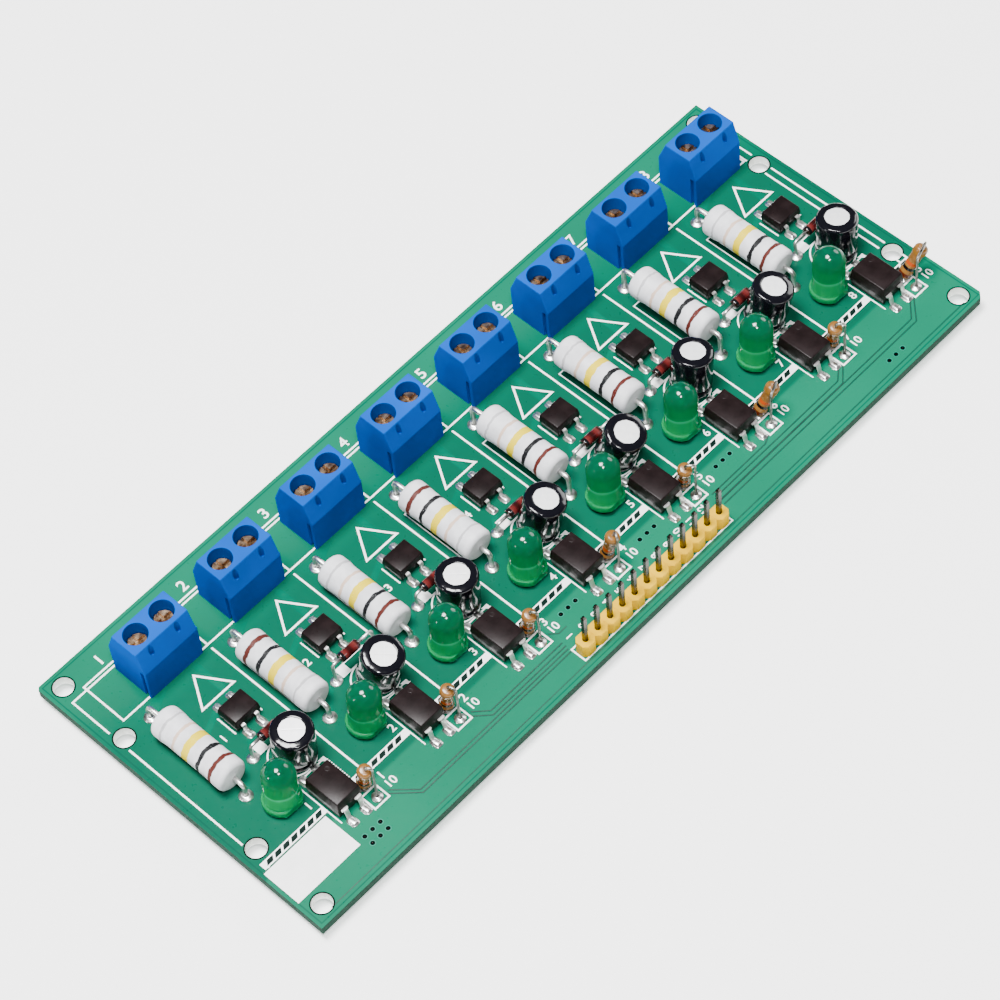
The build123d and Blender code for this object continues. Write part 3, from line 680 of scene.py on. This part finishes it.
# Pull-up resistors
PULLUP_LEAN = (
    (-0.4, -1.45), (-0.25, -1.15), (-0.4, -1.35), (0.45, -1.35),
    (-0.85, -1.4), (2.15, -1.3), (-0.75, -1.4), (2.85, -1.3),
)
PULLUP_LENGTH, PULLUP_X, PULLUP_Y, PULLUP_PITCH, PULLUP_STAND = 6.2, 3.3, 10.99, 2.54, 0.6


def pullup_material():
    enamel = Shade("pullup_enamel", (0.40, 0.22, 0.07), 0.26, Coat_Weight=0.25, Coat_Roughness=0.08,
                   Specular_IOR_Level=0.3)
    coat = enamel.ramp(enamel.noise(700), ((0.3, (0.15, 0.062, 0.012)), (0.7, (0.25, 0.115, 0.026))))
    ragged = enamel.waver(enamel.axes()[2], 1500, 2.0, 0.00012)
    for middle, width, color in (
        (0.85, 0.62, (0.070, 0.012, 0.004)), (2.0, 0.58, (0.004, 0.003, 0.003)),
        (2.95, 0.62, (0.40, 0.050, 0.002)), (3.8, 0.30, (0.16, 0.075, 0.02)),
        (5.15, 0.55, (0.20, 0.085, 0.010)),
    ):
        inside = enamel.between(ragged, (middle - width / 2) * MM, (middle + width / 2) * MM, 0.00005)
        coat = enamel.mix(inside, coat, color)
    enamel.feed(coat, "Base Color")
    enamel.ripple(600, 0.20, 0.32, 0.03)
    return enamel


def pullups():
    enamel = pullup_material()
    profile = [(0.0, 0.0), (0.28, 0.02)] + arc_points((0.50, 0.60), 0.60, -75, 0, 6)
    profile += [(1.10, 1.15), (1.06, 1.38), (0.97, 1.58), (0.93, 1.8)]
    mesh = turned_mesh("pullup_body", mirrored(profile, PULLUP_LENGTH), 40)
    wire = metal("pullup_wire", (0.16, 0.16, 0.14), (0.42, 0.41, 0.38), 0.30)
    for (number, middle), lean in zip(CHANNELS, PULLUP_LEAN):
        x = middle + PULLUP_X
        matrix = leaning(place(x, PULLUP_Y, PULLUP_STAND), lean, PULLUP_LENGTH)
        add(f"pullup_resistor_{number}", mesh, enamel, "pullup_resistors", matrix)
        low = [place_mm(x, PULLUP_Y, z) for z in (LEAD_TIP, PULLUP_STAND + 0.15)]
        start, crest = (matrix @ Vector((0, 0, (PULLUP_LENGTH + up) * MM)) / MM for up in (-0.15, 1.0))
        tip = place_mm(x, PULLUP_Y - PULLUP_PITCH, LEAD_TIP)
        hook = rounded([start, crest, Vector((tip.x, tip.y, crest.z)), tip], 0.5, 8)
        add_wires("pullup", number, [low, hook], 0.2, shade=wire)


# Rectifiers and optocouplers
OPTO_X, OPTO_Y, BRIDGE_Y, SMD_STAND, HALF_PITCH = -0.35, 13.0, 31.95, 0.15, 1.27


def moulded_mesh(name, size, draft):
    """A moulded body with sloping sides above and below its parting line."""
    length, width, height = size
    narrow = height / 2 * math.sin(math.radians(draft))
    half_seam = 0.04
    x, y, middle = length / 2, width / 2, SMD_STAND + height / 2
    levels = (
        (x - narrow, y - narrow, SMD_STAND), (x, y, middle - half_seam),
        (x, y, middle + half_seam), (x - narrow, y - narrow, SMD_STAND + height),
    )
    return bevel(mesh_from(name, lambda work: square_stack(work, levels)), 0.14, 3, 20)


def strip(work, points, width, thickness, x):
    """A flat formed lead along points in the Y and Z plane, all in millimetres."""
    path = rounded([Vector((0, y, z)) for y, z in points], 0.28, 4)
    rings = []
    for index, point in enumerate(path):
        ahead = path[min(index + 1, len(path) - 1)] - path[max(index - 1, 0)]
        normal = Vector((0, -ahead.z, ahead.y)).normalized() * thickness / 2
        rings.append([work.verts.new((Vector((x + sx * width / 2, point.y, point.z)) + normal * sn) * MM)
                      for sx, sn in SQUARE])
    skin(work, rings)
    work.faces.new(rings[0])
    work.faces.new(rings[-1][::-1])


def smd_leads_mesh(name, body_width, span, level, foot, width, shoulder):
    """Four gull-wing leads, with a wider shoulder next to the body where one is asked for."""
    half = 0.11
    root, knee, tip, sole = body_width / 2 - 0.1, body_width / 2 + 0.44, span / 2, 0.1 + half
    route = [(root, level), (knee, level), (tip - foot, sole), (tip, sole)]

    shoulder_y, shoulder_half = (root + knee - 0.1) / 2, (knee - 0.1 - root) / 2
    shoulder_levels = [(shoulder / 2, shoulder_half, level + rise) for rise in (-half, half)]

    def build(work):
        for turn in (0, 180):
            first = len(work.verts)
            for x in (-HALF_PITCH, HALF_PITCH):
                strip(work, route, width, 2 * half, x)
                if shoulder > width:
                    square_stack(work, shoulder_levels, x, shoulder_y)
            work.verts.ensure_lookup_table()
            spin = Matrix.Rotation(math.radians(turn), 3, "Z")
            bmesh.ops.rotate(work, verts=work.verts[first:], matrix=spin)

    return bevel(mesh_from(name, build), 0.035, 1, 50)


def smd_solder_mesh(name, span, foot, width):
    """A fillet of solder that wets each foot and falls away to the edge of its pad."""
    power = 0.55
    levels = ((0.34, 0.0), (0.33, 0.03), (0.24, 0.07), (0.12, 0.16), (0.04, 0.26), (-0.10, 0.33))

    def build(work):
        for side in (-1, 1):
            for x in (-HALF_PITCH, HALF_PITCH):
                middle = side * (span / 2 - foot / 2 + 0.1)
                rings = []
                for grow, z in levels:
                    hx, hy = width / 2 + grow, foot / 2 + grow + 0.12
                    ring = []
                    for c, s in circle(24):
                        px = hx * math.copysign(abs(c) ** power, c)
                        py = hy * math.copysign(abs(s) ** power, s)
                        ring.append(work.verts.new(Vector((x + px, middle + py, z)) * MM))
                    rings.append(ring)
                skin(work, rings)
                work.faces.new(rings[-1])

    return mesh_from(name, build)


def packages():
    # A shallow round mark: a dish whose rim blends into the face around it
    dish = [(0.0, 0.004), (0.3024, 0.005), (0.3864, 0.02), (0.42, 0.012), (0.4452, -0.01)]
    dot = turned_mesh("opto_dot", dish, 32)
    kinds = (
        ("bridge", 0.0, BRIDGE_Y, "bridge_rectifiers", moulded_mesh("bridge_body", (4.7, 3.9, 2.4), 8),
         smd_leads_mesh("bridge_leads", 3.9, 6.8, 1.35, 1.0, 0.65, 0.65),
         smd_solder_mesh("bridge_solder", 6.8, 1.0, 0.65)),
        ("optocoupler", OPTO_X, OPTO_Y, "optocouplers", moulded_mesh("opto_body", (4.58, 6.5, 3.5), 6),
         smd_leads_mesh("opto_leads", 6.5, 10.2, 1.9, 1.0, 0.75, 1.15),
         smd_solder_mesh("opto_solder", 10.2, 1.0, 0.75)),
    )
    for number, middle in CHANNELS:
        for kind, x, y, node, body_mesh, lead_mesh, solder_mesh in kinds:
            matrix = Matrix.Translation(place(middle + x, y))
            add(f"{kind}_body_{number}", body_mesh, MOULDED, node, matrix)
            add(f"{kind}_leads_{number}", lead_mesh, STEEL, f"{kind}_leads", matrix, False)
            add(f"{kind}_solder_{number}", solder_mesh, SOLDER, "solder_joints", matrix)
        matrix = Matrix.Translation(place(middle + OPTO_X + 1.09, OPTO_Y + 2.05, 3.65))
        add(f"optocoupler_dot_{number}", dot, MOULDED, None, matrix)


# Pin header
HEADER_X, HEADER_Y, HEADER_PINS, HEADER_PITCH = 55.2, 2.95, 12, 2.54


def header_strip_mesh():
    """Eight-sided segments in a row, each with a countersink round its pin."""
    half, cut, top = 1.27, 0.6, 2.5
    short = half - cut
    outer = [(half, 0), (half, short), (short, half), (0, half), (-short, half), (-half, short),
             (-half, 0), (-half, -short), (-short, -half), (0, -half), (short, -half), (half, -short)]
    levels = (
        (outer, 1.0, 0.0), (outer, 1.0, top - 0.07), (outer, 0.955, top),
        (circle(12), 0.5, top), (circle(12), 0.33, top - 0.3),
    )

    def build(work):
        for pin in range(HEADER_PINS):
            centre = place_mm(HEADER_X + pin * HEADER_PITCH, HEADER_Y)
            rings = [[work.verts.new((centre + Vector((x * grow, y * grow, z))) * MM) for x, y in outline]
                     for outline, grow, z in levels]
            for first, second in zip(rings, rings[1:]):
                for i in range(12):
                    j = (i + 1) % 12
                    # Where two segments meet, neither has a wall
                    flat = first is rings[0] and outer[i][0] == outer[j][0] and abs(outer[i][0]) == half
                    if flat and 0 < pin + (outer[i][0] > 0) < HEADER_PINS:
                        continue
                    work.faces.new((first[i], first[j], second[j], second[i]))

    return mesh_from("header_strip_body", build)


def header_pins_mesh():
    wide, point, top = 0.32, 0.14, 11.4
    levels = ((point, point, 0.0), (wide, wide, 0.3), (wide, wide, top - 0.45), (point, point, top))

    def build(work):
        for pin in range(HEADER_PINS):
            centre = place_mm(HEADER_X + pin * HEADER_PITCH, HEADER_Y)
            square_stack(work, levels, centre.x, centre.y)

    return bevel(mesh_from("header_pin_set", build), 0.03, 1, 50)


def header():
    add("header_body", header_strip_mesh(), YELLOW, "header_strip", smooth=False)
    add("header_pin_row", header_pins_mesh(), PIN, "header_pins", smooth=False)


# Solder: rings on the component side and cones with clipped lead tips on the other
def joint_places():
    """Each soldered hole: x, y, the reach of its lead and if solder shows on the component side."""
    holes = []
    for _, x in CHANNELS:
        for side in (-1, 1):
            holes += [
                (x + TERMINAL_X + side * TERMINAL_PIN_REACH, TERMINAL_PIN_Y, 0.54, False),
                (x + DROPPER_X, DROPPER_HOLES_Y + side * DROPPER_REACH, 0.38, True),
                (x + DIODE_X + side * DIODE_REACH, DIODE_Y, 0.25, True),
                (x + CAP_X + side * CAP_REACH, CAP_Y, 0.25, False),
                (x + LAMP_X, LAMP_Y + side * LAMP_REACH, 0.35, False),
            ]
        holes += [(x + PULLUP_X, y, 0.2, True) for y in (PULLUP_Y, PULLUP_Y - PULLUP_PITCH)]
    return holes + [(HEADER_X + pin * HEADER_PITCH, HEADER_Y, 0.45, False) for pin in range(HEADER_PINS)]


def oval_lathe(work, profile, segments, x, y):
    """A turned surface at a hole, with a little of an oval in it."""
    first = len(work.verts)
    phase = random.random() * 6.28
    lathe(work, profile, segments, lambda angle, height: 1.0 + 0.03 * math.sin(2 * angle + phase))
    work.verts.ensure_lookup_table()
    bmesh.ops.translate(work, verts=work.verts[first:], vec=place(x, y))


def solder():
    random.seed(7)
    rings, cones, low = bmesh.new(), bmesh.new(), -BOARD_THICKNESS
    for x, y, reach, ring in joint_places():
        pad = reach + 0.70
        if ring:
            profile = [(reach - 0.02, 0.10), (reach + 0.04, 0.34), (reach + 0.14, 0.36), (reach + 0.30, 0.26)]
            profile += [(pad - 0.16, 0.14), (pad - 0.04, 0.07), (pad, 0.01)]
            oval_lathe(rings, profile, 28, x, y)
        tall = 0.85 + 0.12 * random.random()
        profile = [(pad, low - 0.01), (pad - 0.03, low - 0.07), (reach + 0.35, low - 0.26)]
        profile += [(reach + 0.16, low - 0.50), (reach + 0.05, low - tall + 0.08)]
        profile += [(reach - 0.04, low - tall), (0.0, low - tall)]
        oval_lathe(cones, profile, 24, x, y)
    for name, work in (("solder_rings", rings), ("solder_cones", cones)):
        add(name, to_mesh(name, work), SOLDER, "solder_joints")


# Printed legend and copper that shows through the mask, each a thin film on the board
FILM_LEVEL = itertools.count()


def film_path(work, points, width, z, closed=False):
    """A line of even width, mitred at its corners, with each line a hair above the last."""
    points = [Vector(point) for point in points]
    count = len(points)
    followed = range(count if closed else count - 1)
    spans = [(points[(i + 1) % count] - points[i]).normalized() for i in followed]
    sides = [Vector((-span.y, span.x)) for span in spans]
    level = z + next(FILM_LEVEL) % 60 * 0.0005
    pairs = []
    for index, point in enumerate(points):
        if closed or 0 < index < count - 1:
            both = sides[index - 1] + sides[index]
            offset = both * (width / both.length_squared)
        elif index == 0:
            offset, point = sides[0] * width / 2, point - spans[0] * width / 2
        else:
            offset, point = sides[-1] * width / 2, point + spans[-1] * width / 2
        pairs.append([work.verts.new(place(p.x, p.y, level)) for p in (point - offset, point + offset)])
    for index in followed:
        a, b = pairs[index], pairs[(index + 1) % count]
        work.faces.new((a[0], b[0], b[1], a[1]))


def film_face(work, corners, z):
    work.faces.new([work.verts.new(place(x, y, z)) for x, y in corners])


def film_ring(work, x, y, inner, outer, z, steps):
    pairs = []
    for c, s in circle(steps):
        pairs.append([work.verts.new(place(x + r * c, y + r * s, z)) for r in (inner, outer)])
    for a, b in zip(pairs, pairs[1:] + pairs[:1]):
        work.faces.new((a[0], a[1], b[1], b[0]))


def film_label(work, text, x, y, size, z, turn=0.0):
    """A plain number, centred at a place, standing towards +Y."""
    curve = bpy.data.curves.new("label", "FONT")
    curve.body, curve.size = text, size * 1.38
    curve.align_x = curve.align_y = "CENTER"
    curve.offset = size * 0.022
    holder = linked("label", curve)
    shape = bpy.data.meshes.new_from_object(holder.evaluated_get(bpy.context.evaluated_depsgraph_get()))
    first = len(work.verts)
    work.from_mesh(shape)
    work.verts.ensure_lookup_table()
    spin = Matrix.Rotation(math.radians(turn), 3, "Z")
    for vert in work.verts[first:]:
        flat = spin @ vert.co
        vert.co = place(x + flat.x, y + flat.y, z)
    bpy.data.objects.remove(holder)
    bpy.data.curves.remove(curve)
    bpy.data.meshes.remove(shape)


def film_piece(name, work, shade):
    mesh = bpy.data.meshes.new(name)
    bmesh.ops.recalc_face_normals(work, faces=work.faces)
    for face in work.faces:
        if face.normal.z < 0:
            face.normal_flip()
    work.to_mesh(mesh)
    work.free()
    add(name, mesh, shade, smooth=False)


def hatched(ink, gaps, start, end, z):
    """The band between the mains side and the signal side, with dark slanted cells."""
    low, high = 11.95, 13.15
    middle, width = (low + high) / 2, high - low
    film_path(ink, [(start, middle), (end - width / 2, middle)], width, z)
    slope, pitch, cell, rim = 0.55, 1.55, 1.14, 0.23
    at = start
    while at + cell + slope < end:
        ends = (at + cell + slope, high - rim), (at + slope, high - rim)
        film_face(gaps, [(at, low + rim), (at + cell, low + rim), *ends], z + 0.035)
        at += pitch


def legend():
    ink, gaps, z = bmesh.new(), bmesh.new(), 0.03
    left, right, inner, top = 1.8, 136.65, 135.3, 51.15

    def line(*points, width=0.3, closed=False):
        film_path(ink, points, width, z, closed)

    def box(x0, y0, x1, y1, width=0.3):
        line((x0, y0), (x1, y0), (x1, y1), (x0, y1), width=width, closed=True)

    line((left, 17.2), (left, 39.4))
    line((left, 43.7), (left, top), (right, top), (right, 43.7))
    line((inner, 51.0), (inner, 43.5))
    for x in (inner, right):
        line((x, 39.5), (x, 17.4))
        line((x, 13.7), (x, 13.0))
    line((left, 12.0), (left, 13.0))
    for number, x in CHANNELS:
        edge = x + 4.95
        # The terminal's outline, the line between two channels, and a plain triangle
        box(x - 11.35, 43.62, edge, 51.8)
        if number < 8:
            line((edge, 13.2), (edge, 42.7))
        line((x + 0.1, 41.45), (x - 2.95, 36.45), (x + 3.15, 36.45), width=0.33, closed=True)
        hatched(ink, gaps, left if number == 1 else x - PITCH + 2.95, x - 2.75, z)
        if number == 8:
            hatched(ink, gaps, x + 2.95, right, z)
        # Outlines under the dropper resistor, rectifier, diode, capacitor, optocoupler and pull-up
        line((x - 10.05, 26.0), (x - 10.05, 37.9), (x - 6.75, 37.9), (x - 6.75, 26.0), width=0.2, closed=True)
        for side in (-2.55, 2.55):
            line((x + side, 30.3), (x + side, 33.8), width=0.22)
        box(x - 2.55, 25.35, x + 3.05, 26.95, 0.22)
        line((x - 1.87, 26.15), (x - 1.73, 26.15), width=1.45)
        film_ring(ink, x + 0.25, 21.9, 3.32, 3.54, z, 64)
        line((x - 2.8, 9.3), (x - 2.8, 18.2), (x + 2.3, 18.2), width=0.2)
        for step in range(11):
            line((x + 2.78, 13.6 + step * 0.42), (x + 2.95, 13.6 + step * 0.42), width=0.2)
        film_face(ink, [(x + 1.8, 18.55), (x + 2.95, 18.55), (x + 2.95, 17.4)], z + 0.031)
        box(x + 1.75, 7.3, x + 4.45, 10.0, 0.28)
        name = str(number)
        for text, across, y, size in (
            (name, -4.2, 30.9, 1.35), (name, -3.95, 14.5, 1.35), (name, 6.0, 10.4, 1.4),
            ("10", 6.2, 8.7, 1.35), (name, -6.9, 53.4, 1.9),
        ):
            film_label(ink, text, x + across, y, size, z)
    # The white field at the front left corner, and the box and numbers of the pin header
    line((3.95, 8.35), (9.05, 8.35), width=6.7)
    box(53.7, 1.68, 84.5, 4.35, 0.25)
    for pin in range(HEADER_PINS):
        film_label(ink, str(pin + 1), HEADER_X + pin * HEADER_PITCH, 6.1, 1.15, z, 90)
    film_piece("printed_legend", ink, LEGEND)
    dark = plastic("hatch_cells", (0.0015, 0.008, 0.006), (0.0025, 0.012, 0.009), 0.3, 0.001, 1500,
                   Specular_IOR_Level=0.10)
    film_piece("printed_hatch", gaps, dark)


def copper():
    track = plastic("masked_copper", (0.0001, 0.086, 0.049), (0.0001, 0.098, 0.056), 0.22, 0.004, 1500,
                    Specular_IOR_Level=0.12)
    gap = plastic("masked_gap", (0.0003, 0.026, 0.017), (0.0005, 0.036, 0.023), 0.35, 0.004, 1500)
    # Painted shade: dark discs over the via holes and dark rings at the mounting holes' rims stand for the
    # shadow inside the holes
    plug_and_painted_shade = plastic("via_painted_shade", (0.0004, 0.0007, 0.0007), (0.0006, 0.0014, 0.0013), 0.3, 0.001, 1500,
                   Specular_IOR_Level=0.05)
    ring = plastic("via_ring", (0.004, 0.150, 0.095), (0.008, 0.18, 0.12), 0.30, 0.004, 1500)
    wide = bmesh.new()
    for _, middle in CHANNELS:
        for width, points in (
            (1.5, ((-3.6, 44.85), (-3.6, 43.6), (-8.4, 41.2))),
            (1.1, ((1.4, 44.85), (1.4, 37.2), (1.3, 35.1))),
            (1.0, ((-8.4, 22.2), (-5.4, 25.2), (-5.4, 33.2), (-1.27, 35.1))),
            (1.0, ((-1.27, 28.7), (-3.66, 25.65))),
            (0.9, ((1.27, 28.7), (3.96, 25.65), (3.96, 22.6), (1.85, 21.6))),
            (0.8, ((-0.65, 21.6), (-5.75, 18.97))),
            (0.7, ((-5.75, 16.43), (-3.2, 19.4), (-1.6, 18.2))),
        ):
            film_path(wide, [(middle + x, y) for x, y in points], width, 0.012)
    film_piece("masked_tracks", wide, track)
    thin = bmesh.new()
    for points in (
        [(21.0, 8.0), (23.9, 4.8), (53.4, 4.8)], [(20.6, 7.6), (23.8, 4.2), (53.4, 4.2)],
        [(37.3, 8.0), (39.2, 6.1), (53.6, 6.1)], [(36.9, 7.4), (38.9, 5.4), (53.6, 5.4)],
        [(53.5, 8.5), (54.5, 7.5), (56.0, 7.5)],
        [(99.0, 7.5), (97.5, 6.8), (86.0, 6.8)],
        [(115.2, 8.0), (112.7, 6.1), (86.0, 6.1)], [(115.4, 7.4), (112.9, 5.3), (86.0, 5.3)],
        [(131.3, 8.0), (128.3, 5.2), (86.0, 5.2)], [(131.5, 7.4), (128.5, 4.4), (86.0, 4.4)],
    ):
        film_path(thin, points, 0.2, 0.014)
    film_path(thin, [(3.2, 1.25), (135.5, 1.25)], 0.16, 0.014)
    film_piece("mask_gaps", thin, gap)
    rows = [(13.7, 3.95), (13.7, 5.45), (57.0, 9.45), (73.5, 9.45), (89.9, 9.6), (120.4, 2.8)]
    vias = [(x + 1.5 * i, y) for x, y in rows for i in range(3)]
    # The dark via discs and mounting hole rims are painted shade, where the holes' insides lie in shadow
    for name, places, inner, outer, z, steps, shade in (
        ("via_rings", vias, 0.30, 0.46, 0.020, 24, ring),
        ("via_painted_shades", vias, 0.02, 0.34, 0.021, 20, plug_and_painted_shade),
        ("mount_hole_shade_rings", MOUNT_HOLES, 1.55, 1.75, 0.020, 48, plug_and_painted_shade),
    ):
        work = bmesh.new()
        for x, y in places:
            film_ring(work, x, y, inner, outer, z, steps)
        film_piece(name, work, shade)


# Floor, lights and camera
def studio():
    size = 6.0
    mesh = bpy.data.meshes.new("floor")
    mesh.from_pydata([(x * size, y * size, 0) for x, y in SQUARE], [], [(0, 1, 2, 3)])
    floor = linked("floor", mesh)
    pale = Shade("floor_paper", (0.90, 0.90, 0.90), 0.9)
    pale.vary(pale.noise(3, 2), (0.89, 0.89, 0.89), (0.92, 0.92, 0.92))
    # The sheet lies on a light table, so the holes show it pale too
    pale.set("Emission Color", (1.0, 1.0, 1.0, 1.0))
    pale.set("Emission Strength", 0.85)
    mesh.materials.append(pale.material)
    world = bpy.data.worlds.new("studio")
    bpy.context.scene.world = world
    world.use_nodes = True
    background = world.node_tree.nodes["Background"].inputs
    background[0].default_value = (1.0, 1.0, 1.0, 1.0)
    background[1].default_value = 0.07
    # Directions from the board's middle: a wide light over the back, and smaller ones around it
    for name, aim, distance, extent, power in (
        ("key", (-0.13, 0.10, 0.98), 0.90, 0.36, 24.0),
        ("spot", (-0.22, -0.34, 0.91), 0.70, 0.105, 4.0),
        ("left", (-0.90, 0.31, 0.29), 0.75, 0.080, 1.2),
        ("right", (0.85, 0.00, 0.45), 0.90, 0.40, 3.0),
    ):
        lamp = bpy.data.lights.new(name, "AREA")
        lamp.shape = "DISK"
        lamp.energy = power
        lamp.size = extent
        holder = linked(name, lamp)
        holder.location = Vector(aim).normalized() * distance
        holder.rotation_euler = (-Vector(aim)).to_track_quat("-Z", "Y").to_euler()
    lens = bpy.data.cameras.new("camera")
    lens.lens = 126.97
    lens.sensor_width = 36.0
    lens.clip_start = 0.01
    camera = linked("camera", lens)
    # As fitted to the photograph: the turn as its axis times its angle, and the place
    spin = Vector((2.33851371, -1.03841916, 0.226071603))
    rows = Matrix.Rotation(spin.length, 3, spin)
    turn = Matrix((rows[0], -rows[1], -rows[2])).transposed()
    camera.matrix_world = Matrix.Translation(place(-119.75, -187.07, 417.40)) @ turn.to_4x4()
    bpy.context.scene.camera = camera


for build_part in (
    droppers, capacitors, lamps, diodes, pullups, packages, header, solder, copper, legend, studio,
):
    build_part()
